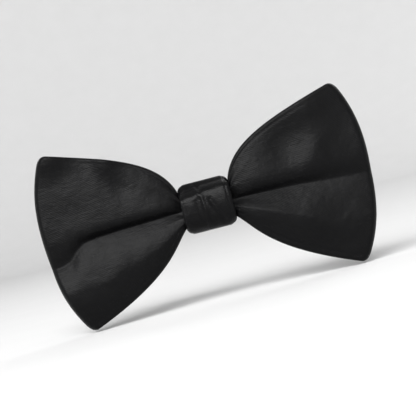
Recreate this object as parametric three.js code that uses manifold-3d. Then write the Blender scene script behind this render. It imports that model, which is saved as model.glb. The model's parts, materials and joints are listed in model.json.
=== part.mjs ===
// Pre-tied clip-on bow tie: a gathered satin loop, its knot, and a spring clip behind it.
// Millimetres. +X is the viewer's right, -Y is the front, +Z is up.
// The origin is the middle of the clip plate's gripping face, which lies in the plane y = 0.
import * as THREE from 'three';
import { mergeVertices } from 'three/addons/utils/BufferGeometryUtils.js';
import Module from 'manifold-3d';

const wasm = await Module();
wasm.setup();

// Driving dimensions: the bow
const bowWidth = 120.2;
const topCornerHeight = 31.4; // above the middle of the knot
const topCornerInset = 6.2; // how far the corner lies inside the bow's full width
const bottomCornerDepth = 33.8;
const bottomCornerInset = 9.3;
const plyThickness = 0.4;
const interliningThickness = 0.5;
const hemWidth = 1.8; // face cloth turned round each long edge
const waistHalfHeight = 5; // inside the knot
const neckHalfHeight = 6.5; // where a wing leaves the knot
const outerFoldRadius = 2; // the band's middle, where it turns back at a wing's end
const endGap = 0.6; // between the band's two ends, behind the knot

// Driving dimensions: the knot
const knotWidth = 18.2;
const knotHeight = 18.1;
const knotFront = 15.4; // how far the knot stands in front of the gripping face
const sleeveThickness = 0.6;
const paddingThickness = 1.1;
const bindingThread = 0.6;
const bindingTurns = 5;
const stitchThread = 0.4;
const seamThread = 0.24;

// Driving dimensions: the clip
const plateLength = 68;
const plateThickness = 0.6;
const plateBarHeight = 6.2;
const gripHeight = 9;
const pivotDistance = 18; // from the middle of the tie to each hinge pin
const pinRadius = 0.7;
const pinHeight = 2.4; // above the gripping face
const sheetThickness = 0.6; // ears and flanges
const jawTopThickness = 0.65;
const jawHeight = 3.05; // from the pin's axis to the jaw's flat back
const jawReach = 15.6; // from the pin's axis to the teeth
const thumbReach = 7.2;
const thumbLift = 1.5;
const toothDepth = 0.9;
const toothCount = 4;
const springWire = 0.5;
const springRadius = 1.5;
const springTurns = 3.5;

// Clearances
const clearance = 0.3;
const toothGap = 0.5; // between the closed teeth and the plate

// Derived sizes
const bandHalfThickness = plyThickness + clearance + interliningThickness / 2;
const wingSpan = bowWidth / 2;
const neckX = knotWidth / 2;
const gatherSlope = 1.4; // a sloped fold is this much thicker from front to back
const bindingBack = -plateThickness - clearance;
const bandBack = bindingBack - bindingThread - clearance;
const valleyBack = bandBack - bandHalfThickness * gatherSlope;
const waistLayerGap = 1.8; // half the distance between the front and back layers at the waist
const bowMiddle = valleyBack - waistLayerGap;

const satin = { color: 0x0b0b0c, roughness: 0.4, metalness: 0 };
const liningSatin = { color: 0x101012, roughness: 0.45, metalness: 0 };
const canvas = { color: 0xb9b2a2, roughness: 0.95, metalness: 0 };
const felt = { color: 0x2a2a2c, roughness: 1, metalness: 0 };
const thread = { color: 0x151516, roughness: 0.7, metalness: 0 };
const nickel = { color: 0xb8b8b4, roughness: 0.3, metalness: 1 };
const springSteel = { color: 0x8f9092, roughness: 0.35, metalness: 1 };

const mix = THREE.MathUtils.lerp;
const smooth = THREE.MathUtils.smoothstep;

function mesh(name, geometry, finish) {
  const result = new THREE.Mesh(geometry, new THREE.MeshStandardMaterial(finish));
  result.name = name;
  return result;
}

// Geometry helpers ----------------------------------------------------------

function toSolid(geometry) {
  const bare = geometry.clone();
  bare.deleteAttribute('normal');
  bare.deleteAttribute('uv');
  const merged = mergeVertices(bare, 1e-5);
  return new wasm.Manifold(new wasm.Mesh({
    numProp: 3,
    vertProperties: new Float32Array(merged.attributes.position.array),
    triVerts: new Uint32Array(merged.index.array),
  }));
}

function toGeometry(solid) {
  const data = solid.getMesh();
  const geometry = new THREE.BufferGeometry();
  geometry.setAttribute('position', new THREE.BufferAttribute(data.vertProperties, 3));
  geometry.setIndex(new THREE.BufferAttribute(data.triVerts, 1));
  return geometry;
}

function polygon(points) {
  return new THREE.Shape(points.map(([x, y]) => new THREE.Vector2(x, y)));
}

// Extrudes a shape drawn in X and Y along Z, centred on z.
function slab(shape, width, z = 0, curveSegments = 6) {
  const geometry = new THREE.ExtrudeGeometry(shape, { depth: width, bevelEnabled: false, curveSegments });
  return geometry.translate(0, 0, z - width / 2);
}

// A round rod that follows a curve.
function rod(curve, radius, steps) {
  const section = new THREE.Shape().absarc(0, 0, radius, 0, 2 * Math.PI);
  return new THREE.ExtrudeGeometry(section, { extrudePath: curve, steps, curveSegments: 3 });
}

// A sheet with thickness. Each station holds two rows of points of equal length, one on
// each face of the sheet, and the sheet runs from the first station to the last.
function sheet(stations) {
  const count = stations[0].outer.length;
  const positions = [];
  for (const { outer, inner } of stations) {
    for (const point of [...outer, ...inner]) positions.push(point.x, point.y, point.z);
  }
  const ring = 2 * count;
  const index = [];
  const quad = (a, b, c, d) => index.push(a, b, c, a, c, d);
  const outerAt = (k, i) => k * ring + i;
  const innerAt = (k, i) => k * ring + count + i;
  for (let k = 0; k + 1 < stations.length; k++) {
    for (let i = 0; i + 1 < count; i++) {
      quad(outerAt(k, i), outerAt(k, i + 1), outerAt(k + 1, i + 1), outerAt(k + 1, i));
      quad(innerAt(k, i), innerAt(k + 1, i), innerAt(k + 1, i + 1), innerAt(k, i + 1));
    }
    quad(outerAt(k, 0), outerAt(k + 1, 0), innerAt(k + 1, 0), innerAt(k, 0));
    quad(outerAt(k, count - 1), innerAt(k, count - 1), innerAt(k + 1, count - 1), outerAt(k + 1, count - 1));
  }
  const last = stations.length - 1;
  for (let i = 0; i + 1 < count; i++) {
    quad(outerAt(0, i), innerAt(0, i), innerAt(0, i + 1), outerAt(0, i + 1));
    quad(outerAt(last, i), outerAt(last, i + 1), innerAt(last, i + 1), innerAt(last, i));
  }
  const geometry = new THREE.BufferGeometry();
  geometry.setAttribute('position', new THREE.Float32BufferAttribute(positions, 3));
  geometry.setIndex(index);
  return geometry;
}

// The bow's middle surface ----------------------------------------------------

// Each long edge of a wing is a cubic curve from the knot to the wing's corner. The two
// inner control points are shares of the edge's run (x) and of its rise (z).
function wingEdge(corner, neck, first, second) {
  const start = new THREE.Vector2(neckX, neck);
  const span = corner.clone().sub(start);
  return new THREE.CubicBezierCurve(
    start,
    start.clone().add(new THREE.Vector2(first[0], first[1]).multiply(span)),
    start.clone().add(new THREE.Vector2(second[0], second[1]).multiply(span)),
    corner,
  );
}

const topCorner = new THREE.Vector2(wingSpan - topCornerInset, topCornerHeight);
const bottomCorner = new THREE.Vector2(wingSpan - bottomCornerInset, -bottomCornerDepth);
const topEdge = wingEdge(topCorner, neckHalfHeight, [0.08, 0.54], [0.45, 0.73]);
const bottomEdge = wingEdge(bottomCorner, -neckHalfHeight, [0.14, 0.2], [0.2, 0.56]);
const endBow = wingSpan - (topCorner.x + bottomCorner.x) / 2; // how far a wing's end bows out
const endBowPower = 2.6;

// A point of the wing seen from the front. u is 0 at the middle of the knot, 1 where the
// wing leaves it and 2 at the wing's end; v is -1 on the bottom edge and 1 on the top edge.
function planPoint(u, v) {
  const share = (v + 1) / 2;
  if (u <= 1) {
    const half = mix(waistHalfHeight, neckHalfHeight, u * u);
    return new THREE.Vector2(u * neckX, half * v);
  }
  const t = u - 1;
  const point = bottomEdge.getPoint(t).lerp(topEdge.getPoint(t), share);
  point.x += endBow * t ** 1.5 * (1 - Math.abs(v) ** endBowPower);
  return point;
}

// Height of the two long lobes across the band: 0 in the sharp middle crease, 1 along each
// lobe, and a share of that on the long edges, which lie softly.
const edgeRise = 0.4;

function lobe(v) {
  const w = Math.min(Math.abs(v), 1);
  if (w < 0.5) return Math.sin(Math.PI * w);
  return mix(edgeRise, 1, (1 + Math.cos(2 * Math.PI * (w - 0.5))) / 2);
}

const waistLobe = 2.2; // how far the lobes stand forward of the crease inside the knot
const wingLobe = 3.6; // and in the middle of a wing, averaged over its two layers
const wingPuff = 1.9; // how far the two layers are blown apart along the lobes
const endLobe = 0.4;
const fullestAt = 1.4;

function rise(u) {
  return u < fullestAt ? smooth(u, 0.7, fullestAt) : 1 - smooth(u, fullestAt, 1.98);
}

function layerMiddle(u, v) {
  const resting = u < fullestAt ? waistLobe : mix(waistLobe, endLobe, smooth(u, fullestAt, 2));
  return bowMiddle - (resting + (wingLobe - waistLobe) * rise(u)) * lobe(v);
}

function layerGap(u, v) {
  const base = mix(waistLayerGap, outerFoldRadius, smooth(u, fullestAt, 2));
  return base + wingPuff * rise(u) * lobe(v);
}

// side is 1 for the right wing and -1 for the left; face is -1 for the front layer, 1 for the back.
function layerPoint(side, face, u, v) {
  const plan = planPoint(u, v);
  return new THREE.Vector3(side * plan.x, layerMiddle(u, v) + face * layerGap(u, v), plan.y);
}

// The band's turn at a wing's end. angle is 0 at the front layer and PI at the back layer.
function foldPoint(side, angle, v) {
  const tip = planPoint(2, v);
  const outward = tip.clone().sub(planPoint(1.95, v)).normalize();
  const centre = tip.addScaledVector(outward, -(outerFoldRadius + bandHalfThickness));
  centre.addScaledVector(outward, outerFoldRadius * Math.sin(angle));
  const y = layerMiddle(2, v) - outerFoldRadius * Math.cos(angle);
  return new THREE.Vector3(side * centre.x, y, centre.y);
}

// The whole loop as a list of lines across the band: behind the knot, out along the back of
// the right wing, round its end, along the front to the left wing, and back behind the knot.
function loopLines() {
  const wing = [1.86, 1.72, 1.58, 1.44, 1.3, 1.18, 1.08, 1, 0.6];
  const turn = [0, 1, 2, 3, 4].map((step) => (step * Math.PI) / 4);
  const endU = endGap / 2 / neckX;
  const back = (side) => [...wing, endU].map((u) => ({ u, at: (v) => layerPoint(side, 1, u, v) }));
  const fold = (side) => turn.map((angle) => ({ u: 2, at: (v) => foldPoint(side, angle, v) }));
  const front = (side) => wing.map((u) => ({ u, at: (v) => layerPoint(side, -1, u, v) }));
  return [
    ...back(1).reverse(),
    ...fold(1).reverse(),
    ...front(1),
    { u: 0, at: (v) => layerPoint(1, -1, 0, v) },
    ...front(-1).reverse(),
    ...fold(-1),
    ...back(-1),
  ];
}

const loop = loopLines();

// The point that lies off the band's middle surface by a distance towards the loop's outside.
function bandPoint(k, v, distance) {
  const here = loop[k].at(v);
  const before = loop[Math.max(k - 1, 0)].at(v);
  const after = loop[Math.min(k + 1, loop.length - 1)].at(v);
  const along = after.sub(before);
  const across = loop[k].at(Math.min(v + 0.02, 1)).sub(loop[k].at(Math.max(v - 0.02, -1)));
  return here.addScaledVector(across.cross(along).normalize(), distance);
}

function halfWidth(k) {
  return loop[k].at(1).distanceTo(loop[k].at(-1)) / 2;
}

const acrossSteps = 12;

// Rows across the band out to a limit. The rows of the middle half are the same for every
// ply, so that the plies stay parallel over the crease and the lobes.
function spread(limit) {
  return Array.from({ length: acrossSteps + 1 }, (_, i) => {
    const v = (2 * i) / acrossSteps - 1;
    const w = Math.abs(v);
    return w <= 0.5 ? v : Math.sign(v) * mix(0.5, limit, 2 * w - 1);
  });
}

// A flat ply whose long edges stop short of the band's edges by a distance.
function flatPly(inset, outerFace, innerFace) {
  return sheet(loop.map((_, k) => {
    const rows = spread(1 - inset / halfWidth(k));
    return {
      outer: rows.map((v) => bandPoint(k, v, outerFace)),
      inner: rows.map((v) => bandPoint(k, v, innerFace)),
    };
  }));
}

// The face cloth covers the outside and turns round both long edges as a narrow hem.
function facePly() {
  const face = bandHalfThickness;
  const under = bandHalfThickness - plyThickness;
  return sheet(loop.map((_, k) => {
    const half = halfWidth(k);
    const hem = 1 - hemWidth / half;
    const wall = 1 - plyThickness / half;
    const row = (limit, level) => [
      bandPoint(k, -hem, -level),
      bandPoint(k, -limit, -level),
      ...spread(limit).map((v) => bandPoint(k, v, level)),
      bandPoint(k, limit, -level),
      bandPoint(k, hem, -level),
    ];
    return { outer: row(1, face), inner: row(wall, under) };
  }));
}

// The slip stitch that holds the lining to one hem, seen from inside the loop as a line of thread.
function seam(name, edge) {
  const radius = seamThread / 2;
  const level = -bandHalfThickness - 1.5 * clearance - radius;
  const points = loop.map((_, k) => {
    const v = edge * (1 - (hemWidth + clearance / 2) / halfWidth(k));
    return bandPoint(k, v, level);
  });
  const curve = new THREE.CatmullRomCurve3(points, false, 'centripetal');
  return mesh(name, rod(curve, radius, Math.round(1.5 * loop.length)), thread);
}

function bowBand() {
  const liningInset = hemWidth + clearance;
  const interliningInset = plyThickness + clearance;
  const half = interliningThickness / 2;
  return [
    mesh('bow_face_ply', facePly(), satin),
    mesh('bow_interlining', flatPly(interliningInset, half, -half), canvas),
    mesh('bow_lining_ply', flatPly(liningInset, -half - clearance, -bandHalfThickness), liningSatin),
    seam('top_seam_thread', 1),
    seam('bottom_seam_thread', -1),
  ];
}

// The knot --------------------------------------------------------------------

const sleeveBack = clearance + sleeveThickness; // outer face of the sleeve behind the plate
const knotMiddle = (sleeveBack - knotFront) / 2;
const knotHalfDepth = (sleeveBack + knotFront) / 2;
const knotRoundness = 3.2;
const sleeveEdgeDrop = 0.7; // the sleeve's sides dip towards the wings

// The knot's outline seen along X: a rounded box. angle is 0 at the back and grows upwards.
function knotOutline(angle) {
  const curve = (value) => Math.sign(value) * Math.abs(value) ** (2 / knotRoundness);
  const y = knotMiddle + knotHalfDepth * curve(Math.cos(angle));
  return new THREE.Vector3(0, y, (knotHeight / 2) * curve(Math.sin(angle)));
}

function knotPoint(angle, x, depth) {
  const step = 0.02;
  const along = knotOutline(angle + step).sub(knotOutline(angle - step));
  const outward = new THREE.Vector3(0, along.z, -along.y).normalize();
  const drop = sleeveEdgeDrop * (Math.abs(x) / neckX) ** 4;
  const point = knotOutline(angle).addScaledVector(outward, -depth - drop * smooth(1 - Math.cos(angle), 0, 1));
  point.x = x;
  return point;
}

// A strip wrapped round the knot from one angle to another, between two depths below its surface.
function wrap(from, to, steps, width, depthAt, thickness) {
  const columns = [1, 0.85, 0.5, 0, -0.5, -0.85, -1].map((share) => (share * width) / 2);
  return sheet(Array.from({ length: steps + 1 }, (_, k) => {
    const angle = mix(from, to, k / steps);
    const depth = depthAt(angle);
    return {
      outer: columns.map((x) => knotPoint(angle, x, depth)),
      inner: columns.map((x) => knotPoint(angle, x, depth + thickness)),
    };
  }));
}

const flapAngle = 0.16; // half the overlap of the sleeve's two ends
const flapLift = sleeveThickness + clearance;

function sleeveDepth(angle) {
  const full = 2 * Math.PI;
  return -flapLift * smooth(angle, full - 3.2 * flapAngle, full - 1.4 * flapAngle);
}

function knotSleeve() {
  const wrapped = wrap(-flapAngle, 2 * Math.PI + flapAngle, 40, knotWidth, sleeveDepth, sleeveThickness);
  return mesh('knot_sleeve', wrapped, satin);
}

// Padding under the front, top and bottom of the sleeve; it stops short of the clip plate.
function knotPadding() {
  const reach = 1.1;
  const depth = () => sleeveThickness + clearance;
  const width = knotWidth - 5;
  const pad = wrap(reach, 2 * Math.PI - reach, 24, width, depth, paddingThickness);
  return mesh('knot_padding', pad, felt);
}

// Thread wound round the gathered waist, as one helix with a flattened oval outline.
function waistBinding() {
  const radius = bindingThread / 2;
  const front = bowMiddle - waistLayerGap - waistLobe - bandHalfThickness - clearance - radius;
  const back = bindingBack - radius;
  const half = waistHalfHeight + 2 * clearance + radius;
  const roundness = 6;
  const perTurn = 16;
  const pitch = bindingThread + 0.35;
  const points = [];
  for (let i = 0; i <= bindingTurns * perTurn; i++) {
    const angle = (i / perTurn) * 2 * Math.PI;
    const curve = (value) => Math.sign(value) * Math.abs(value) ** (2 / roundness);
    points.push(new THREE.Vector3(
      (i / perTurn - bindingTurns / 2) * pitch,
      mix(front, back, (1 + curve(Math.cos(angle))) / 2),
      half * curve(Math.sin(angle)),
    ));
  }
  const curve = new THREE.CatmullRomCurve3(points, false, 'chordal');
  return mesh('waist_binding_thread', rod(curve, radius, bindingTurns * perTurn), thread);
}

// Hand stitches over the free end of the sleeve: one thread that crosses the edge to and fro.
function sleeveStitches() {
  const radius = stitchThread / 2;
  const edge = knotOutline(flapAngle).z;
  const low = sleeveBack + clearance + radius;
  const high = low + flapLift;
  const pitch = 1.7;
  const count = 8;
  const points = [];
  for (let i = 0; i < count; i++) {
    const x = (i - (count - 1) / 2) * pitch;
    points.push(new THREE.Vector3(x - 0.25 * pitch, high, edge - 1.3));
    points.push(new THREE.Vector3(x, high, edge + 0.5));
    points.push(new THREE.Vector3(x + 0.25 * pitch, low, edge + 1.2));
    points.push(new THREE.Vector3(x + 0.5 * pitch, high, edge + 0.5));
  }
  const curve = new THREE.CatmullRomCurve3(points, false, 'centripetal');
  return mesh('sleeve_stitches', rod(curve, radius, count * 8), thread);
}

// The clip --------------------------------------------------------------------

const pinHoleRadius = pinRadius + clearance;
const earInside = plateBarHeight / 2 - sheetThickness;
const flangeInside = plateBarHeight / 2 + clearance;
const jawWidth = 2 * (flangeInside + sheetThickness);

function pinHole() {
  return toSolid(slab(new THREE.Shape().absarc(0, 0, pinHoleRadius, 0, 2 * Math.PI), 2 * jawWidth));
}

// One ear that carries the pin, drawn round the pin's axis.
function ear(z) {
  const radius = 1.9;
  const shape = new THREE.Shape();
  shape.moveTo(radius, -pinHeight - plateThickness / 2);
  shape.lineTo(radius, 0);
  shape.absarc(0, 0, radius, 0, Math.PI);
  shape.lineTo(-radius, -pinHeight - plateThickness / 2);
  return toSolid(slab(shape, sheetThickness, z));
}

// The plate's outline in X and Z: a narrow bar that widens into a grip at each end.
function plateOutline() {
  const end = plateLength / 2;
  const bar = plateBarHeight / 2;
  const grip = gripHeight / 2;
  const shoulder = pivotDistance + 3.2;
  const corner = 2;
  const shape = new THREE.Shape();
  shape.moveTo(-shoulder, -bar);
  shape.lineTo(shoulder, -bar);
  shape.lineTo(shoulder + grip - bar, -grip);
  shape.lineTo(end - corner, -grip);
  shape.absarc(end - corner, -grip + corner, corner, -Math.PI / 2, 0);
  shape.lineTo(end, grip - corner);
  shape.absarc(end - corner, grip - corner, corner, 0, Math.PI / 2);
  shape.lineTo(shoulder + grip - bar, grip);
  shape.lineTo(shoulder, bar);
  shape.lineTo(-shoulder, bar);
  shape.lineTo(-shoulder - grip + bar, grip);
  shape.lineTo(-end + corner, grip);
  shape.absarc(-end + corner, grip - corner, corner, Math.PI / 2, Math.PI);
  shape.lineTo(-end, -grip + corner);
  shape.absarc(-end + corner, -grip + corner, corner, Math.PI, 1.5 * Math.PI);
  shape.lineTo(-shoulder - grip + bar, -grip);
  return shape;
}

function clipPlate() {
  const blank = slab(plateOutline(), plateThickness, plateThickness / 2).rotateX(Math.PI / 2);
  let plate = toSolid(blank);
  for (const side of [-1, 1]) {
    for (const z of [-1, 1]) {
      const lug = ear(z * (earInside + sheetThickness / 2)).subtract(pinHole());
      plate = plate.add(lug.translate([side * pivotDistance, pinHeight, 0]));
    }
  }
  return mesh('clip_plate', toGeometry(plate), nickel);
}

// The jaw's side view, drawn round the pin's axis with the teeth at +X. A larger inset draws
// the hollow inside the channel, which is open towards the plate.
function jawOutline(inset, lowest) {
  const back = jawHeight - inset;
  const end = jawReach - inset;
  const bend = 2.8;
  const shape = new THREE.Shape();
  shape.moveTo(-2.1 - 3 * inset, back);
  shape.lineTo(end - bend, back);
  shape.quadraticCurveTo(end, back, end, back - bend);
  shape.lineTo(end, lowest);
  return shape;
}

function jawChannel() {
  const teethAt = toothGap - pinHeight;
  const flangeFoot = -1.25;
  const outside = jawOutline(0, teethAt);
  outside.lineTo(jawReach - jawTopThickness, teethAt);
  outside.lineTo(jawReach - jawTopThickness, -0.2);
  outside.lineTo(4, flangeFoot);
  outside.lineTo(-0.9, flangeFoot);
  outside.lineTo(-1.8, -0.5);
  const hollow = jawOutline(jawTopThickness, -2 * pinHeight);
  hollow.lineTo(-2.1 - 3 * jawTopThickness, -2 * pinHeight);
  const channel = toSolid(slab(outside, jawWidth));
  return channel.subtract(toSolid(slab(hollow, 2 * flangeInside)));
}

function thumbTab() {
  const start = -1.9;
  const shape = polygon([
    [start, jawHeight],
    [-thumbReach, jawHeight + thumbLift],
    [-thumbReach, jawHeight + thumbLift - jawTopThickness],
    [start, jawHeight - jawTopThickness],
  ]);
  return toSolid(slab(shape, jawWidth));
}

// The notches between the teeth, cut up into the jaw's end wall.
function toothNotches() {
  const pitch = jawWidth / toothCount;
  const tip = toothGap - pinHeight;
  const points = [[-jawWidth, tip - 1]];
  for (let i = 0; i < toothCount; i++) {
    const left = (i - toothCount / 2) * pitch;
    points.push([left, tip + toothDepth]);
    points.push([left + pitch / 2, tip]);
  }
  points.push([jawWidth / 2, tip + toothDepth], [jawWidth, tip - 1]);
  const notches = slab(polygon(points.reverse()), 4).rotateY(Math.PI / 2);
  return toSolid(notches.translate(jawReach, 0, 0));
}

function jaw(name) {
  const solid = jawChannel().add(thumbTab()).subtract(pinHole()).subtract(toothNotches());
  return mesh(name, toGeometry(solid), nickel);
}

// A rivet pin: a shank with a thin head outside each flange.
function hingePin(name) {
  const headAt = jawWidth / 2 + clearance;
  const end = headAt + 0.5;
  const headRadius = pinRadius + 0.6;
  const profile = [
    [0, -end], [headRadius, -end], [headRadius, -headAt], [pinRadius, -headAt],
    [pinRadius, headAt], [headRadius, headAt], [headRadius, end], [0, end],
  ].map(([radius, height]) => new THREE.Vector2(radius, height));
  return mesh(name, new THREE.LatheGeometry(profile, 14).rotateX(Math.PI / 2), nickel);
}

// A torsion spring on the pin. One leg lies on the plate and the other under the thumb tab.
function jawSpring(name) {
  const wire = springWire / 2;
  const halfLength = earInside - clearance - wire - 0.4;
  const legReach = thumbReach - 2;
  const tabSlope = thumbLift / (thumbReach - 1.9);
  const underTab = jawHeight - jawTopThickness + (legReach - 1.9) * tabSlope - wire - clearance;
  const points = [new THREE.Vector3(-legReach, -pinHeight + wire + clearance, -halfLength)];
  const perTurn = 12;
  const total = springTurns * perTurn;
  for (let i = 0; i <= total; i++) {
    const angle = -Math.PI / 2 + (i / perTurn) * 2 * Math.PI;
    const z = mix(-halfLength, halfLength, i / total);
    points.push(new THREE.Vector3(springRadius * Math.cos(angle), springRadius * Math.sin(angle), z));
  }
  points.push(new THREE.Vector3(-legReach, underTab, halfLength));
  const curve = new THREE.CatmullRomCurve3(points, false, 'centripetal');
  return mesh(name, rod(curve, wire, 56), springSteel);
}

// The moving set at one end of the clip. The left set is the right one turned about Y.
function jawSet(label, turn) {
  const set = new THREE.Group();
  set.add(jaw(`jaw_${label}`), hingePin(`hinge_pin_${label}`), jawSpring(`jaw_spring_${label}`));
  set.position.set(pivotDistance, pinHeight, 0);
  const turned = new THREE.Group();
  turned.add(set);
  turned.rotation.y = turn;
  return turned;
}

const bowTie = new THREE.Group();
bowTie.add(...bowBand());
bowTie.add(waistBinding(), knotPadding(), knotSleeve(), sleeveStitches());
bowTie.add(clipPlate(), jawSet('right', 0), jawSet('left', Math.PI));

export default bowTie;
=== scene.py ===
"""Looks of a pre-tied satin bow tie with a hidden collar clip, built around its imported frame.

The frame's units are metres, with +Z up, +X along the wings and the bow facing -Y. Shapes are
worked out in millimetres and scaled when a mesh is made. Row names: u runs along the band (0 at
the middle of the knot, 1 where a wing leaves it, 2 at the wing's end) and v runs across it (-1 on
the bottom edge, 1 on the top edge).
"""

import json
import math

import bmesh
import bpy
import numpy as np
from mathutils import Matrix, Vector


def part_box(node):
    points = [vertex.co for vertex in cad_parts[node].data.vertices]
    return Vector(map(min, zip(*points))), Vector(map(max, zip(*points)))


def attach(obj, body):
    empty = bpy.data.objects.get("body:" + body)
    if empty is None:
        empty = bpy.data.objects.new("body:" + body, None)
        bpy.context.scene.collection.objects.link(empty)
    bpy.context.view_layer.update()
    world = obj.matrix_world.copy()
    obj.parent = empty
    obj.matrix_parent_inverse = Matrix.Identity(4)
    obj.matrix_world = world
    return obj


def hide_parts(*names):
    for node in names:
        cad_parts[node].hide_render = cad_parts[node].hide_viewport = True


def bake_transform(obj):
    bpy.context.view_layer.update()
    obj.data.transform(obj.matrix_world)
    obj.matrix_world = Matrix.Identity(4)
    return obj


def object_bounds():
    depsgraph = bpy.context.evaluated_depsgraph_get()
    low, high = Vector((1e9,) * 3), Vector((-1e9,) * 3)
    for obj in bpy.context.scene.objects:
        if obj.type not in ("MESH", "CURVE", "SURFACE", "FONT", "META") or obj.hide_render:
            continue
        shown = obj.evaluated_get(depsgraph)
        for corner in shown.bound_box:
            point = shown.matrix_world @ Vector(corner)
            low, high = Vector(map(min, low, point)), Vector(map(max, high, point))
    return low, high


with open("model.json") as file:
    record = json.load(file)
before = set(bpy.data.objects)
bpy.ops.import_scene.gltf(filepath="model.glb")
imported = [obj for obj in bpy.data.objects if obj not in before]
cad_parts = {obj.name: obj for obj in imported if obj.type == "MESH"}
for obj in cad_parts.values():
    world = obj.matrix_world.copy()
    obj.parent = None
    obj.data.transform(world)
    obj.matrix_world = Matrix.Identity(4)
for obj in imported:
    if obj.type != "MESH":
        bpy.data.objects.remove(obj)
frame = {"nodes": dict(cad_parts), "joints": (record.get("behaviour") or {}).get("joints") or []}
cad_box = [list(corner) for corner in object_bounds()]

MM = 0.001


def box_mm(node):
    low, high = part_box(node)
    return np.array(low) / MM, np.array(high) / MM


# Sizes from the frame, in millimetres
band_low, band_high = box_mm("bow_face_ply")
knot_low, knot_high = box_mm("knot_sleeve")
padding_low, padding_high = box_mm("knot_padding")
binding_low, binding_high = box_mm("waist_binding_thread")

KNOT_X = knot_high[0]
KNOT_HALF_HEIGHT = knot_high[2]
WING_X = band_high[0] - 0.3
TOP_CORNER = np.array([WING_X - 6.0, band_high[2] - 0.2])
BOTTOM_CORNER = np.array([WING_X - 9.2, band_low[2] + 0.2])

# Half the band's height where a wing leaves the knot and in the middle of the knot, the y of its
# creases' bottoms and of its rearmost face, and the reach of the roll at its ends
NECK_HALF = 6.5
WAIST_HALF = 5.0
FRONT_VALLEY = -7.7
BACK_FACE = band_high[1] - 0.2
END_ROLL = 2.4

# The thread round the waist bites a little into the band, which it holds at these reliefs
BINDING_THREAD = 0.6
BINDING_BITE = 0.05
WAIST_FRONT = FRONT_VALLEY - (binding_low[1] + BINDING_THREAD - BINDING_BITE)
WAIST_BACK = BACK_FACE - (binding_high[1] - BINDING_THREAD + BINDING_BITE)

# The band's whole thickness with its hems, the radius of its rounded edges, its satin, and how far
# the hem, lining and canvas start in from an edge. FACE_HEM is what the face ply's cut has beyond
# the edge: its hem and the way round.
BAND = 1.9
EDGE = BAND / 2
SATIN_PLY = 0.36
HEM = 2.1
LINING_INSET = 2.2
CANVAS_INSET = 1.0

# How far below the band's outside the canvas's two faces and the lining's outer face lie
CANVAS_OUTER = 0.62
CANVAS_INNER = 1.2
LINING_OUTER = 1.5


# Small numeric helpers -----------------------------------------------------------------------

def smooth(x, low, high):
    t = np.clip((x - low) / (high - low), 0, 1)
    return t * t * (3 - 2 * t)


def mix(a, b, t):
    return a + (b - a) * t


def lattice_noise(a, b, cell, seed):
    """Smooth noise from -1 to 1 over two coordinates, with cells of the given size."""
    table = np.random.default_rng(seed).uniform(-1, 1, (257, 257))
    ax, bx = a / cell + 101, b / cell + 101
    ia, ib = np.floor(ax).astype(int), np.floor(bx).astype(int)
    fa, fb = ax - ia, bx - ib
    fa, fb = fa * fa * (3 - 2 * fa), fb * fb * (3 - 2 * fb)
    ia, ib = ia % 256, ib % 256
    low = mix(table[ia, ib], table[ia + 1, ib], fa)
    high = mix(table[ia, ib + 1], table[ia + 1, ib + 1], fa)
    return mix(low, high, fb)


def bump(x, z, centre, angle, length, width):
    """A long soft spot, 1 at its centre, that lies at an angle above the x axis."""
    c, s = math.cos(math.radians(angle)), math.sin(math.radians(angle))
    dx, dz = x - centre[0], z - centre[1]
    along, across = dx * c + dz * s, dz * c - dx * s
    return np.exp(-((along / length) ** 2) - (across / width) ** 2)


# Mesh helpers --------------------------------------------------------------------------------

def mesh_object(name, points, faces, material, sharp=40):
    """A mesh object from points in millimetres."""
    mesh = bpy.data.meshes.new(name)
    mesh.from_pydata((np.asarray(points) * MM).tolist(), [], faces)
    mesh.validate()
    mesh.polygons.foreach_set("use_smooth", [True] * len(mesh.polygons))
    mesh.set_sharp_from_angle(angle=math.radians(sharp))
    mesh.materials.append(material)
    obj = bpy.data.objects.new(name, mesh)
    bpy.context.scene.collection.objects.link(obj)
    return obj


def sheet_mesh(name, outer, inner, material, sharp=50):
    """A closed sheet between two grids of points, each stations x rows x 3."""
    stations, rows = outer.shape[:2]
    points = np.concatenate([outer, inner], axis=1).reshape(-1, 3)
    k = np.arange(stations - 1)[:, None]
    i = np.arange(rows - 1)[None, :]
    ring = 2 * rows
    a = (k * ring + i).ravel()
    faces = [np.stack([a, a + 1, a + 1 + ring, a + ring], 1)]
    b = a + rows
    faces.append(np.stack([b, b + ring, b + ring + 1, b + 1], 1))
    k = k.ravel()
    low, high = k * ring, k * ring + rows - 1
    faces.append(np.stack([low, low + ring, low + ring + rows, low + rows], 1))
    faces.append(np.stack([high, high + rows, high + ring + rows, high + ring], 1))
    i = i.ravel()
    last = (stations - 1) * ring
    faces.append(np.stack([i, i + rows, i + rows + 1, i + 1], 1))
    faces.append(np.stack([last + i, last + i + 1, last + i + rows + 1, last + i + rows], 1))
    return mesh_object(name, points, np.concatenate(faces).tolist(), material, sharp)


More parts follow.
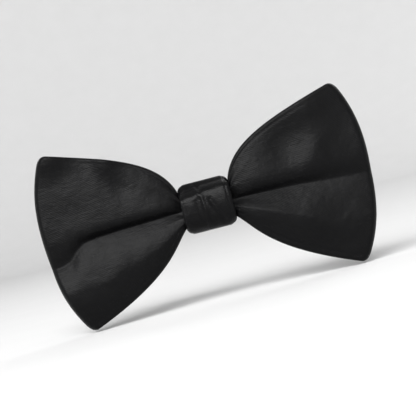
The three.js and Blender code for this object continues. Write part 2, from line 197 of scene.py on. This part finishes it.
def thread_mesh(name, path, radius, material, strands=3, lay=2.2, sides=12):
    """A twisted thread along a path in millimetres: its section has one lobe for each strand."""
    path = np.asarray(path, float)
    count = len(path)
    tangent = np.gradient(path, axis=0)
    tangent /= np.linalg.norm(tangent, axis=1)[:, None]
    length = np.concatenate([[0], np.cumsum(np.linalg.norm(np.diff(path, axis=0), axis=1))])
    normal = np.cross(tangent[0], [0.3, 0.5, 0.8])
    points = []
    angle = np.linspace(0, 2 * math.pi, sides, endpoint=False)
    for k in range(count):
        normal = normal - tangent[k] * (normal @ tangent[k])
        normal /= np.linalg.norm(normal)
        side = np.cross(tangent[k], normal)
        turn = angle + 2 * math.pi * length[k] / lay
        swell = radius * (0.84 + 0.16 * np.cos(strands * turn))
        out = np.cos(angle)[:, None] * normal + np.sin(angle)[:, None] * side
        points.append(path[k] + swell[:, None] * out)
    points = np.concatenate(points)
    faces = []
    for k in range(count - 1):
        for i in range(sides):
            j = (i + 1) % sides
            faces.append([k * sides + i, k * sides + j, (k + 1) * sides + j, (k + 1) * sides + i])
    faces.append(list(range(sides))[::-1])
    faces.append([(count - 1) * sides + i for i in range(sides)])
    return mesh_object(name, points, faces, material, 80)


def resample(path, step):
    path = np.asarray(path, float)
    length = np.concatenate([[0], np.cumsum(np.linalg.norm(np.diff(path, axis=0), axis=1))])
    wanted = np.linspace(0, length[-1], max(int(length[-1] / step), 2))
    return np.stack([np.interp(wanted, length, path[:, i]) for i in range(3)], 1)


def soften(path, times):
    for _ in range(times):
        path[1:-1] = (path[:-2] + 2 * path[1:-1] + path[2:]) / 4
    return path


# Materials -----------------------------------------------------------------------------------

class Nodes:
    """A short way to build one material's nodes."""

    def __init__(self, name):
        self.material = bpy.data.materials.new(name)
        self.material.use_nodes = True
        self.tree = self.material.node_tree
        self.shader = self.tree.nodes["Principled BSDF"]

    def add(self, kind, links=(), **values):
        node = self.tree.nodes.new(kind)
        for key, value in values.items():
            if hasattr(node, key):
                setattr(node, key, value)
            else:
                node.inputs[key.replace("_", " ").title()].default_value = value
        for socket, source in links:
            self.tree.links.new(source, node.inputs[socket])
        return node

    def place(self, scale):
        """Object coordinates stretched by a scale, one number or three."""
        where = self.add("ShaderNodeTexCoord")
        mapping = self.add("ShaderNodeMapping", [("Vector", where.outputs["Object"])])
        mapping.inputs["Scale"].default_value = scale if hasattr(scale, "__len__") else (scale,) * 3
        return mapping.outputs["Vector"]

    def noise(self, scale, size, detail=2):
        node = self.add("ShaderNodeTexNoise", [("Vector", self.place(scale))])
        node.inputs["Scale"].default_value = size
        node.inputs["Detail"].default_value = detail
        return node.outputs["Fac"]

    def wave(self, scale, size, direction, distortion=0.4):
        node = self.add("ShaderNodeTexWave", [("Vector", self.place(scale))])
        node.bands_direction = direction
        node.inputs["Scale"].default_value = size
        node.inputs["Distortion"].default_value = distortion
        node.inputs["Detail"].default_value = 1
        return node.outputs["Fac"]

    def ramp(self, value, low, high):
        """The value 0 to 1 mapped to low to high."""
        node = self.add("ShaderNodeMapRange", [("Value", value)])
        node.inputs["To Min"].default_value = low
        node.inputs["To Max"].default_value = high
        return node.outputs["Result"]

    def colours(self, value, low, high):
        node = self.add("ShaderNodeMix")
        node.data_type = "RGBA"
        self.tree.links.new(value, node.inputs["Factor"])
        node.inputs[6].default_value = (*low, 1)
        node.inputs[7].default_value = (*high, 1)
        self.tree.links.new(node.outputs[2], self.shader.inputs["Base Color"])

    def rough(self, value, low, high):
        self.tree.links.new(self.ramp(value, low, high), self.shader.inputs["Roughness"])

    def relief(self, layers):
        """Bump layers, each (height value, strength, distance in metres)."""
        previous = None
        for height, strength, distance in layers:
            node = self.add("ShaderNodeBump", [("Height", height)])
            node.inputs["Strength"].default_value = strength
            node.inputs["Distance"].default_value = distance
            if previous:
                self.tree.links.new(previous, node.inputs["Normal"])
            previous = node.outputs["Normal"]
        self.tree.links.new(previous, self.shader.inputs["Normal"])

    def set(self, **values):
        for key, value in values.items():
            self.shader.inputs[key.replace("_", " ")].default_value = value


def satin(name, tone, roughness):
    """Black satin: long floats along X that catch the light, crossed by a fine diagonal step."""
    m = Nodes(name)
    streak = m.noise((420, 1400, 1400), 1, 3)
    mottle = m.noise(1, 420, 3)
    twill = m.wave((1, 1, 1), 620, "DIAGONAL", 0.6)
    m.colours(mottle, [0.8 * c for c in tone], [1.3 * c for c in tone])
    m.rough(streak, roughness - 0.05, roughness + 0.07)
    m.relief([(mottle, 0.9, 0.0002), (streak, 0.9, 0.0001), (twill, 0.4, 0.00005)])
    m.set(Specular_IOR_Level=0.08)
    return m.material


def canvas():
    m = Nodes("canvas")
    warp = m.wave(1, 330, "Z", 0.5)
    weft = m.wave(1, 330, "X", 0.5)
    m.colours(m.noise(1, 900, 2), (0.45, 0.41, 0.34), (0.62, 0.58, 0.5))
    m.rough(warp, 0.85, 0.95)
    m.relief([(warp, 0.5, 0.0001), (weft, 0.5, 0.0001)])
    return m.material


def felt():
    m = Nodes("felt")
    fibres = m.noise(1, 2600, 5)
    m.colours(fibres, (0.012, 0.012, 0.014), (0.05, 0.05, 0.055))
    m.rough(fibres, 0.9, 1.0)
    m.relief([(fibres, 0.9, 0.0002)])
    return m.material


def thread_material():
    m = Nodes("sewing_thread")
    fuzz = m.noise(1, 3200, 4)
    m.colours(fuzz, (0.006, 0.006, 0.007), (0.02, 0.02, 0.022))
    m.rough(fuzz, 0.5, 0.7)
    m.relief([(fuzz, 0.5, 0.00005)])
    return m.material


def nickel():
    """Nickel-plated sheet: fine drawn lines along X, and handling marks that change its tone and
    dullness.
    """
    m = Nodes("nickel_plate")
    drawn = m.noise((60, 2400, 2400), 1, 3)
    marks = m.noise(1, 260, 4)
    m.colours(marks, (0.56, 0.54, 0.5), (0.72, 0.7, 0.66))
    m.rough(marks, 0.2, 0.42)
    m.relief([(drawn, 0.25, 0.00003), (marks, 0.05, 0.00006)])
    m.set(Metallic=1.0)
    return m.material


def spring_steel():
    m = Nodes("spring_steel")
    drawn = m.noise(1, 1800, 3)
    m.colours(drawn, (0.3, 0.3, 0.31), (0.48, 0.48, 0.5))
    m.rough(drawn, 0.25, 0.45)
    m.relief([(drawn, 0.2, 0.00003)])
    m.set(Metallic=1.0)
    return m.material


def backdrop():
    m = Nodes("pale_backdrop")
    grain = m.noise(1, 30, 4)
    m.colours(grain, (0.61, 0.61, 0.61), (0.64, 0.64, 0.64))
    m.rough(grain, 0.8, 0.95)
    m.set(Specular_IOR_Level=0.1)
    return m.material


SATIN = satin("black_satin", (0.0024, 0.0024, 0.0026), 0.42)
KNOT_SATIN = satin("knot_satin", (0.0024, 0.0024, 0.0026), 0.3)
LINING = satin("lining_satin", (0.006, 0.006, 0.0064), 0.52)
CANVAS = canvas()
FELT = felt()
THREAD = thread_material()
NICKEL = nickel()
STEEL = spring_steel()


# The band's outline seen from the front ------------------------------------------------------

def edge_curve(corner, neck, first, second):
    """A wing's long edge: a cubic from the knot to the corner, with its inner points as shares."""
    start = np.array([KNOT_X, neck])
    span = corner - start
    first, second = start + np.array(first) * span, start + np.array(second) * span
    return np.array([start, first, second, corner])


TOP_EDGE = edge_curve(TOP_CORNER, NECK_HALF, (0.08, 0.53), (0.45, 0.73))
BOTTOM_EDGE = edge_curve(BOTTOM_CORNER, -NECK_HALF, (0.14, 0.19), (0.2, 0.56))
END_BOW = WING_X - (TOP_CORNER[0] + BOTTOM_CORNER[0]) / 2


def cubic(p, t):
    t = t[..., None]
    s = 1 - t
    return s ** 3 * p[0] + 3 * s ** 2 * t * p[1] + 3 * s * t ** 2 * p[2] + t ** 3 * p[3]


def plan(u, v):
    """x (always positive) and z of the band's outline at u and v, before its end is rolled."""
    t = np.clip(u - 1, 0, 1)
    share = (v + 1) / 2
    point = mix(cubic(BOTTOM_EDGE, t), cubic(TOP_EDGE, t), share[..., None])
    x = point[..., 0] + END_BOW * t ** 1.5 * (1 - np.abs(v) ** 2.6)
    x = x - 1.1 * np.clip((np.abs(v) - 0.92) / 0.08, 0, 1.2) ** 2 * t ** 6
    half = mix(WAIST_HALF, NECK_HALF, np.clip(u, 0, 1) ** 2)
    inside = u < 1
    return np.where(inside, u * KNOT_X, x), np.where(inside, half * v, point[..., 1])


def rolled_plan(u, v):
    """The same, drawn in at the end to leave room for the roll, and the way out of the end."""
    x, z = plan(u, v)
    ox, oz = x - plan(u - 0.04, v)[0], z - plan(u - 0.04, v)[1]
    size = np.hypot(ox, oz) + 1e-9
    pull = END_ROLL * smooth(u, 1.55, 2.0)
    return x - pull * ox / size, z - pull * oz / size, ox / size, oz / size


def half_width(u):
    u = np.asarray(u, float)
    top, bottom = plan(u, np.ones_like(u)), plan(u, -np.ones_like(u))
    return np.hypot(top[0] - bottom[0], top[1] - bottom[1]) / 2


# The folds -----------------------------------------------------------------------------------

# How far a lobe stands forward of its crease (mm), out on the wing and gathered in the knot
LOBE = 3.9
GATHERED_LOBE = 1.9

# Each wing's own shape, as points along x (mm): the crease's height, how wide the upper lobe's
# steep roll out of the crease is, and the lower lobe's crest. Then how round the lower lobe's rise
# to that crest is (1 is straight), how full the upper and lower lobes are at the neck (mm), where
# along u they start to fall towards the wing's end and the shares that the upper and lower keep
# there, and the soft dents and ridges as (x, z, angle above the x axis, length, width, height
# forward).
WINGS = {
    -1: {
        "crease": (
            [9, 22, 32, 42, 48, 51, 54, 58],
            [-0.3, -0.9, -1.2, -1.8, -2.6, -4.6, -7.8, -9.2],
        ),
        "roll": ([9, 24, 44, 50, 54, 58], [2.0, 2.0, 2.0, 2.8, 5.0, 6.0]),
        "crest": ([9, 24, 32, 40, 48, 58], [-5, -12.5, -14, -16, -17.5, -19]),
        "rise": 1.6,
        "neck": (1.5, 1.6),
        "fall": (1.65, 0.82, 1.0),
        "folds": [
            (31.5, 25, 0, 4.5, 5.5, 2.3),
            (28, 13, 60, 4.0, 3.5, -0.6),
            (53, 31, 60, 6.0, 6.5, 2.4),
        ],
    },
    1: {
        "crease": ([9, 22, 32, 42, 50, 57], [-0.4, -0.8, -1.1, -1.9, -2.6, -3.0]),
        "roll": ([9, 24, 40, 58], [2.1, 2.6, 3.2, 4.6]),
        "crest": ([9, 24, 32, 40, 48, 58], [-4.5, -10, -12.5, -15.5, -17.5, -19]),
        "rise": 1.15,
        "neck": (1.8, 1.6),
        "fall": (1.7, 0.42, 0.42),
        "folds": [
            (32.5, 13, 78, 11.0, 7.0, -1.2),
            (43, 10, 65, 7.0, 5.0, 0.5),
            (45, 30, 28, 15.0, 8.0, 2.1),
        ],
    },
}


def relief(side, u, v):
    """How far the front of a wing stands forward of the bottom of its crease."""
    wing = WINGS[side]
    x, z = plan(u, v)
    crease = np.interp(x, *wing["crease"])
    d = z - crease
    top = plan(u, np.ones_like(v))[1] - crease
    bottom = crease - plan(u, -np.ones_like(v))[1]
    fall_from, upper_share, lower_share = wing["fall"]
    upper_neck, lower_neck = wing["neck"]
    grown = smooth(u, 0.85, np.where(d > 0, 1.45, 1.8))
    full = mix(np.where(d > 0, upper_neck, lower_neck), LOBE, grown)
    full = mix(GATHERED_LOBE, full, smooth(u, 0.3, 0.95))
    full = full * mix(1, np.where(d > 0, upper_share, lower_share), smooth(u, fall_from, 2.05))
    roll = np.interp(x, *wing["roll"])
    up = np.clip(d / top, 0, 1)
    upper = (1 - np.exp(-(np.clip(d, 0, None) / roll) ** 1.6)) * (1 - 0.72 * up ** 1.1)
    crest = crease - np.interp(x, *wing["crest"]) + 1.8 * lattice_noise(side * x, 0.0, 11.0, 5)
    crest = np.clip(crest, 0.3 * bottom, 0.62 * bottom)
    down = np.clip(-d, 0, None)
    rising = 1 - (1 - np.clip(down / crest, 0, 1)) ** wing["rise"]
    falling = 1 - 0.85 * np.clip((down - crest) / (bottom - crest), 0, 1) ** 1.6
    height = full * np.where(d > 0, upper, 0.95 * rising * falling)
    for fx, fz, angle, length, width, forward in wing["folds"]:
        height = height + forward * bump(x, z, (fx, fz), angle, length, width)
    gathers = np.cos(11 * v + 0.6 * side) + 0.6 * np.cos(19 * v + 1.1)
    near_knot = np.exp(-((x - KNOT_X - 1) / 6.0) ** 2) * smooth(u, 0.6, 1.0)
    height = height + 0.14 * gathers * near_knot
    height = height + 0.22 * lattice_noise(side * x, z, 8.0, 3) * smooth(u, 1.05, 1.4)
    height = height + 0.06 * lattice_noise(side * x, z, 2.9, 4) * smooth(u, 1.05, 1.3)
    return mix(WAIST_FRONT, height, smooth(u, 0.15, 0.85)) - edge_groove(u, v)


def edge_groove(u, v):
    """The pressed line just inside a wing's edges, where the turned seam ends."""
    inside = (1 - np.abs(v)) * half_width(u)
    long_edge = np.exp(-(((inside - 1.7) / 0.45) ** 2))
    return 0.16 * long_edge * smooth(u, 1.0, 1.2)


def back_relief(side, u, v):
    """How far the back of a wing lies forward of the band's rearmost face."""
    w = np.abs(v)
    outer_lobe = mix(0.4, 1, (1 + np.cos(2 * np.pi * (w - 0.5))) / 2)
    lobe = np.where(w < 0.5, np.sin(np.pi * w), outer_lobe)
    height = mix(2.2, 1.6, smooth(u, 0.9, 1.4)) * mix(1, 0.15, smooth(u, 1.4, 2.0)) * lobe
    x, z = plan(u, v)
    gathers = 1.5 + np.cos(9 * v - 0.8) + 0.5 * np.cos(17 * v)
    near_knot = np.exp(-((x - KNOT_X) / 12.0) ** 2) * smooth(u, 0.7, 1.0)
    height = height + 0.25 * gathers * near_knot
    height = height + 0.14 * (1 + lattice_noise(side * x, z, 9.0, 7)) * smooth(u, 1.05, 1.4)
    return mix(WAIST_BACK, height, smooth(u, 0.15, 0.85)) + edge_groove(u, v)


# The loop's surface at a depth below its outside ---------------------------------------------

def front_points(side, u, v, depth):
    x, z, _, _ = rolled_plan(u, v)
    return np.stack([side * x, FRONT_VALLEY - relief(side, u, v) + depth, z], -1)


def back_points(side, u, v, depth):
    x, z, _, _ = rolled_plan(u, v)
    return np.stack([side * x, BACK_FACE - back_relief(side, u, v) - depth, z], -1)


def end_points(side, angle, v, depth):
    """The roll at a wing's end. angle is 0 at the front and pi at the back."""
    u = np.full_like(v, 2.0)
    x, z, ox, oz = rolled_plan(u, v)
    front = FRONT_VALLEY - relief(side, u, v)
    back = BACK_FACE - back_relief(side, u, v)
    reach = (END_ROLL - depth) * np.sin(angle)
    y = (front + back) / 2 - ((back - front) / 2 - depth) * np.cos(angle)
    return np.stack([side * (x + reach * ox), y, z + reach * oz], -1)


def loop_blocks(fine):
    """The loop as blocks of (kind, side, values), behind the knot to the right and round."""
    front = np.linspace(2, 1, 96 // fine + 1)
    inside = np.linspace(1, 0, 16 // fine + 1)
    back = np.linspace(2, 1, 64 // fine + 1)
    waist = np.linspace(1, 0.035, 8 // fine + 1)
    turn = np.linspace(0, np.pi, 16 // fine + 1)[1:-1]
    return [
        ("back", 1, np.concatenate([back, waist[1:]])[::-1]),
        ("end", 1, turn[::-1]),
        ("front", 1, np.concatenate([front, inside[1:]])),
        ("front", -1, np.concatenate([front, inside[1:-1]])[::-1]),
        ("end", -1, turn),
        ("back", -1, np.concatenate([back, waist[1:]])),
    ]


def loop_surface(rows, fine=1):
    """Points over the whole loop. rows(half width) gives the v and depth of each row."""
    parts = []
    for kind, side, values in loop_blocks(fine):
        u = np.full_like(values, 2.0) if kind == "end" else values
        v, depth = rows(half_width(u)[:, None])
        along = np.broadcast_to(values[:, None], v.shape)
        make = {"back": back_points, "front": front_points, "end": end_points}[kind]
        parts.append(make(side, along.copy(), v, np.broadcast_to(depth, v.shape)))
    return np.concatenate(parts)


def across(count):
    """Evenly numbered rows that lie closer together near the crease."""
    w = np.linspace(-1, 1, count)
    return (np.sign(w) * np.abs(w) ** 1.3)[None, :]


def face_rows(shift):
    """Rows of the face ply: hem, rounded edge, outside, rounded edge, hem. shift is the depth."""
    arc = np.linspace(np.pi, 0, 9)[None, :]
    radius = EDGE - shift

    def rows(half):
        hem = -1 + HEM / half
        bottom = -1 + (EDGE - radius * np.sin(arc)) / half
        outside = across(121)[:, 1:-1] * (1 - EDGE / half)
        ones = np.ones_like(half)
        v = np.concatenate([hem, bottom, outside, -bottom[:, ::-1], -hem], 1)
        round_depth = (EDGE - radius * np.cos(arc)) * ones
        flat = shift * np.ones_like(outside)
        under = (BAND - shift) * ones
        return v, np.concatenate([under, round_depth, flat, round_depth[:, ::-1], under], 1)

    return rows


def flat_rows(inset, depth, count):
    def rows(half):
        v = across(count) * (1 - inset / half)
        return v, np.full_like(v, depth)

    return rows


def bow_face():
    """The satin outside of the loop, hemmed round both long edges."""
    outer, inner = loop_surface(face_rows(0)), loop_surface(face_rows(SATIN_PLY))
    obj = sheet_mesh("bow_face", outer, inner, SATIN)
    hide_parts("bow_face_ply")
    return obj


def bow_lining():
    obj = sheet_mesh(
        "bow_lining",
        loop_surface(flat_rows(LINING_INSET, LINING_OUTER, 61), 2),
        loop_surface(flat_rows(LINING_INSET, LINING_OUTER + SATIN_PLY, 61), 2),
        LINING,
    )
    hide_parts("bow_lining_ply")
    return obj


def bow_canvas():
    obj = sheet_mesh(
        "bow_canvas",
        loop_surface(flat_rows(CANVAS_INSET, CANVAS_OUTER, 61), 2),
        loop_surface(flat_rows(CANVAS_INSET, CANVAS_INNER, 61), 2),
        CANVAS,
    )
    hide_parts("bow_interlining")
    return obj


def seam_stitches(name, node, edge):
    """Slip stitches that step to and fro between the hem and the lining, inside the loop."""
    pitch, step, radius = 3.0, 0.25, 0.12

    def line(inset):
        def rows(half):
            return edge * (1 - inset / half), np.full_like(half, BAND + radius)
        return resample(loop_surface(rows)[:, 0], step)

    hem_side, lining_side = line(1.7), line(2.5)
    count = min(len(hem_side), len(lining_side))
    phase = np.arange(count) * step / pitch * 2 * np.pi
    share = (0.5 + 0.5 * np.sin(phase))[:, None]
    path = mix(hem_side[:count], lining_side[:count], share)
    obj = thread_mesh(name, path, radius, THREAD, sides=8)
    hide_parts(node)
    return obj


# The knot ------------------------------------------------------------------------------------

# The y of the knot's back below its overlap, the sleeve's thickness as a turned strip, and how far
# each end of it passes the middle of the back (radians)
KNOT_BACK = 0.9
SLEEVE = 0.6
FLAP = 0.16
KNOT_MIDDLE_Y = (knot_low[1] + KNOT_BACK) / 2
KNOT_HALF_DEPTH = (KNOT_BACK - knot_low[1]) / 2


def knot_section(angle):
    """y and z of the knot's outside seen along X, rounder in front. angle is 0 behind, then up."""
    power = 2 / mix(3.2, 2.5, np.where(np.cos(angle) < 0, 1, 0))
    cos, sin = np.cos(angle), np.sin(angle)
    y = KNOT_MIDDLE_Y + KNOT_HALF_DEPTH * np.sign(cos) * np.abs(cos) ** power
    return y, KNOT_HALF_HEIGHT * np.sign(sin) * np.abs(sin) ** power


def knot_points(angle, x, depth):
    step = 0.01
    y1, z1 = knot_section(angle + step)
    y0, z0 = knot_section(angle - step)
    ny, nz = z1 - z0, -(y1 - y0)
    size = np.hypot(ny, nz) + 1e-9
    y, z = knot_section(angle)
    return np.stack([x + 0 * y, y - depth * ny / size, z - depth * nz / size], -1)


# Folds on the front of the knot that spread from a pinched point above its middle, as
# (start, end, width, height outwards), with each end as (x, z).
KNOT_FOLDS = [
    ((-1.8, 3.6), (-3.8, 9.0), 0.7, 0.45),
    ((-1.4, 2.6), (-0.6, -8.0), 0.6, 0.3),
    ((0.0, -0.4), (1.2, -3.6), 1.8, 0.45),
    ((1.4, 1.6), (5.0, -6.5), 0.8, -0.35),
    ((-3.2, 2.0), (-2.6, -4.0), 0.9, -0.22),
]


def near_line(x, z, start, end, width):
    """1 on the straight line between two points, and fading away from it."""
    ax, az = start
    bx, bz = end[0] - ax, end[1] - az
    along = np.clip(((x - ax) * bx + (z - az) * bz) / (bx * bx + bz * bz), 0, 1)
    off = np.hypot(x - ax - along * bx, z - az - along * bz)
    return np.exp(-((off / width) ** 2))


def knot_relief(angle, x):
    """How far the knot's cloth sinks below its plain outline."""
    y, z = knot_section(angle)
    front = smooth(-np.cos(angle), 0.1, 0.55)
    corner = np.clip((np.abs(x) - KNOT_X + 3.0) / 3.0, 0, 1)
    drop = 1.8 * (1 - np.sqrt(1 - (0.93 * corner) ** 2)) / 0.63 * smooth(1 - np.cos(angle), 0, 1)
    drop = drop * mix(1, 0.28, smooth(-np.cos(angle), 0.5, 0.9))
    from_pinch = x + 1.4
    lift = 3.6 + 0.12 * np.clip(from_pinch, None, 0) + 0.9 * smooth(from_pinch, -0.5, 1.0)
    shoulder = 1.3 * smooth(z - lift, 0, 4.2)
    overlap = -0.35 * smooth(from_pinch, -0.6, 0.6) - 0.3 * smooth(from_pinch, 1.0, 8.5)
    folds = sum(
        -height * near_line(x, z, start, end, width) for start, end, width, height in KNOT_FOLDS
    )
    edge_line = 0.1 * np.exp(-(((KNOT_X - np.abs(x) - 1.5) / 0.3) ** 2))
    uneven = 0.08 * lattice_noise(x, z + 3 * np.cos(angle), 3.0, 11)
    return drop + front * (shoulder + overlap + folds + uneven) + edge_line


def sleeve_lift(angle):
    """The free end of the sleeve lies on top of its other end, behind."""
    full = 2 * math.pi
    return -0.9 * smooth(angle, full - 3.2 * FLAP, full - 1.4 * FLAP)


def knot_sleeve():
    """The satin strip round the knot, with turned sides and its overlapped end behind."""
    half = SLEEVE / 2
    angle = np.linspace(-FLAP, 2 * math.pi + FLAP, 261)[:, None]
    arc = np.linspace(0, np.pi, 7)
    turned_x, turned_depth = KNOT_X - half * (1 - np.sin(arc)), half * (1 - np.cos(arc))
    middle = np.linspace(KNOT_X - half, half - KNOT_X, 73)[1:-1]
    x = np.concatenate([turned_x[::-1], middle, -turned_x])[None, :]
    depth = np.concatenate([turned_depth[::-1], 0 * middle, turned_depth])[None, :]
    inner_x = np.clip(x, 0.35 - KNOT_X, KNOT_X - 0.35)
    sink = knot_relief(angle, x) + sleeve_lift(angle)
    outer = knot_points(angle, x, sink + depth)
    inner = knot_points(angle, inner_x, sink + SLEEVE)
    obj = sheet_mesh("knot_wrap", outer, inner, KNOT_SATIN, 60)
    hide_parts("knot_sleeve")
    return obj


def knot_felt():
    """Felt under the front, top and bottom of the sleeve. In front it fills up to the binding."""
    reach = 0.3
    angle = np.linspace(reach, 2 * math.pi - reach, 141)[:, None]
    x = np.linspace(padding_high[0], padding_low[0], 61)[None, :]
    fuzz = 0.12 * lattice_noise(x, 9 * angle, 0.7, 21)
    under = knot_relief(angle, x)
    to_binding = binding_low[1] - 0.1 - knot_low[1]
    fill = mix(under + 1.5, under + 1.9, smooth(angle, reach, 3 * reach))
    fill = mix(fill, to_binding, smooth(-np.cos(angle), 0.5, 0.95))
    outer = knot_points(angle, x, under + SLEEVE + 0.25 + fuzz)
    inner = knot_points(angle, x, fill - fuzz)
    obj = sheet_mesh("knot_felt", outer, inner, FELT, 60)
    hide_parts("knot_padding")
    return obj


def waist_binding():
    """Five turns of twisted thread round the gathered waist, along the CAD thread's outline."""
    low, high = binding_low, binding_high
    radius = BINDING_THREAD / 2
    turns, per_turn, power = 5, 60, 2 / 6
    angle = np.arange(turns * per_turn + 1) / per_turn * 2 * np.pi
    x = mix(low[0] + radius, high[0] - radius, angle / angle[-1])
    cos, sin = np.cos(angle), np.sin(angle)
    y = mix(low[1] + radius, high[1] - radius, (1 + np.sign(cos) * np.abs(cos) ** power) / 2)
    z = (high[2] - radius) * np.sign(sin) * np.abs(sin) ** power
    path = soften(resample(np.stack([x, y, z], 1), 0.3), 6)
    obj = thread_mesh("waist_binding", path, radius, THREAD)
    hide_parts("waist_binding_thread")
    return obj


def sleeve_stitches():
    """One thread that crosses the sleeve's free edge to and fro."""
    low, high = box_mm("sleeve_stitches")
    radius, count = 0.2, 8
    edge = knot_section(np.array([FLAP]))[1][0]
    over, under = high[1] - radius, low[1] + radius
    points = []
    for i in range(count):
        x = mix(low[0] + radius, high[0] - 1.1, i / (count - 1))
        points += [(x, over, edge - 1.2), (x + 0.4, over, edge + 0.45)]
        points += [(x + 0.75, under, edge + 1.2), (x + 1.15, over, edge + 0.45)]
    path = soften(resample(points, 0.12), 8)
    obj = thread_mesh("closing_stitches", path, radius, THREAD, lay=1.3)
    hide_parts("sleeve_stitches")
    return obj


# The clip ------------------------------------------------------------------------------------

def pressed_metal(node, body, bevel):
    """A stamped piece on its CAD shape, with the edges eased as plating leaves them."""
    mesh = frame["nodes"][node].data.copy()
    build = bmesh.new()
    build.from_mesh(mesh)
    bmesh.ops.remove_doubles(build, verts=build.verts, dist=1e-6)
    bmesh.ops.dissolve_limit(
        build, angle_limit=math.radians(1), verts=build.verts, edges=build.edges
    )
    sharp = [e for e in build.edges if e.is_manifold and e.calc_face_angle(0) > math.radians(32)]
    bmesh.ops.bevel(
        build, geom=sharp, offset=bevel * MM, segments=2, profile=0.6, affect="EDGES",
        clamp_overlap=True,
    )
    build.to_mesh(mesh)
    build.free()
    mesh.materials.clear()
    mesh.materials.append(NICKEL)
    mesh.polygons.foreach_set("use_smooth", [True] * len(mesh.polygons))
    mesh.set_sharp_from_angle(angle=math.radians(35))
    obj = bpy.data.objects.new(f"{node}_plated", mesh)
    bpy.context.scene.collection.objects.link(obj)
    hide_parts(node)
    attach(obj, body)
    return obj


def torsion_spring(side, jaw_body):
    """Round wire coiled on the hinge pin. It twists between the plate's leg and the jaw's leg."""
    label = "right" if side > 0 else "left"
    joint = next(j for j in frame["joints"] if j["child"] == jaw_body)
    pin = np.array(joint["pos_m"]) / MM
    low, high = box_mm(f"jaw_spring_{label}")
    wire, radius, turns = 0.25, 1.5, 3.5
    leg_z = high[2] - wire
    reach = (high[0] - low[0]) - radius - wire
    angle = -np.pi / 2 + np.linspace(0, turns * 2 * np.pi, 140)
    rise = np.linspace(-leg_z, leg_z, 140)
    coil = np.stack([radius * np.cos(angle), radius * np.sin(angle), rise], 1)
    first = np.array([[-reach, low[1] + wire - pin[1], -leg_z]])
    last = np.array([[-reach, high[1] - wire - pin[1], leg_z]])
    path = soften(resample(np.concatenate([first, coil, last]), 0.14), 3)
    if side < 0:
        path = path * [-1, 1, -1]
    name = f"torsion_spring_{label}"
    obj = thread_mesh(name, path + pin, wire * 1.08, STEEL, strands=1, lay=1e6)
    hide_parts(f"jaw_spring_{label}")
    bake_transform(obj)
    return obj


# Camera, light and stage ---------------------------------------------------------------------

FILM_WIDTH = 36


def camera():
    """Square on to the bow's front, rolled so that its right end stands higher."""
    lens, roll, fill = 100, math.radians(14.5), 0.9
    centre = (band_low + band_high) / 2 * MM
    across_x, _, up_z = band_high - band_low
    width = across_x * math.cos(roll) + up_z * math.sin(roll)
    distance = width * MM / fill * lens / FILM_WIDTH
    data = bpy.data.cameras.new("camera")
    data.lens = lens
    data.clip_start = 0.01
    obj = bpy.data.objects.new("camera", data)
    right = (math.cos(roll), 0, -math.sin(roll))
    up = (math.sin(roll), 0, math.cos(roll))
    back = (0, -1, 0)
    turn = Matrix((right, up, back)).transposed().to_4x4()
    obj.matrix_world = Matrix.Translation((centre[0], centre[1] - distance, centre[2])) @ turn
    bpy.context.scene.collection.objects.link(obj)
    bpy.context.scene.camera = obj


def softbox(name, azimuth, elevation, size, radiance):
    """A rectangular light, far enough off to be even. Azimuth is 0 in front and 90 on the right."""
    distance = 2.2
    a, e = math.radians(azimuth), math.radians(elevation)
    away = Vector((math.sin(a) * math.cos(e), -math.cos(a) * math.cos(e), math.sin(e)))
    data = bpy.data.lights.new(name, "AREA")
    data.shape = "RECTANGLE"
    data.size, data.size_y = size
    data.energy = math.pi * size[0] * size[1] * radiance
    obj = bpy.data.objects.new(name, data)
    obj.rotation_euler = away.to_track_quat("Z", "Y").to_euler()
    obj.location = away * distance
    bpy.context.scene.collection.objects.link(obj)


def lights():
    softbox("key_softbox", -18, 34, (2.0, 1.4), 11.4)
    softbox("back_softbox", 138, 30, (1.5, 1.0), 2.2)
    world = bpy.data.worlds.new("studio")
    world.use_nodes = True
    world.node_tree.nodes["Background"].inputs["Color"].default_value = (1, 1, 1, 1)
    world.node_tree.nodes["Background"].inputs["Strength"].default_value = 0.49
    bpy.context.scene.world = world
    bpy.context.scene.view_settings.view_transform = "Standard"


def stage():
    """A pale floor that curves up into a round wall, wider than any view's camera stands."""
    floor_z = cad_box[0][2] / MM - 0.2
    flat, bend, wall = 1600, 800, 1000
    arc = np.linspace(0, np.pi / 2, 25)
    profile = [(1, 0), (flat / 3, 0), (2 * flat / 3, 0)]
    profile += [(flat + bend * math.sin(a), bend * (1 - math.cos(a))) for a in arc]
    profile.append((flat + bend, wall))
    steps = 96
    turn = np.linspace(0, 2 * np.pi, steps, endpoint=False)
    points = [(r * math.cos(a), r * math.sin(a), floor_z + h) for r, h in profile for a in turn]
    faces = [list(range(steps))]
    for k in range(len(profile) - 1):
        for i in range(steps):
            j = (i + 1) % steps
            faces.append([k * steps + i, k * steps + j, (k + 1) * steps + j, (k + 1) * steps + i])
    obj = mesh_object("backdrop", points, faces, backdrop())


# The pieces ----------------------------------------------------------------------------------

face = bow_face()
lining = bow_lining()
interlining = bow_canvas()
top_seam = seam_stitches("seam_top", "top_seam_thread", 1)
bottom_seam = seam_stitches("seam_bottom", "bottom_seam_thread", -1)
wrap = knot_sleeve()
padding = knot_felt()
binding = waist_binding()
closing = sleeve_stitches()

SLOTS = {
    "satin": [face, wrap],
    "lining_satin": [lining],
    "interlining": [interlining],
    "padding": [padding],
    "thread": [top_seam, bottom_seam, binding, closing],
}
for slot_name, pieces in SLOTS.items():
    for piece in pieces:
        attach(piece, "bow")

pressed_metal("clip_plate", "bow", 0.1)
for label in ("left", "right"):
    pressed_metal(f"jaw_{label}", f"{label}_jaw", 0.12)
    pressed_metal(f"hinge_pin_{label}", "bow", 0.1)
torsion_spring(1, "right_jaw")
torsion_spring(-1, "left_jaw")

stage()
lights()
camera()
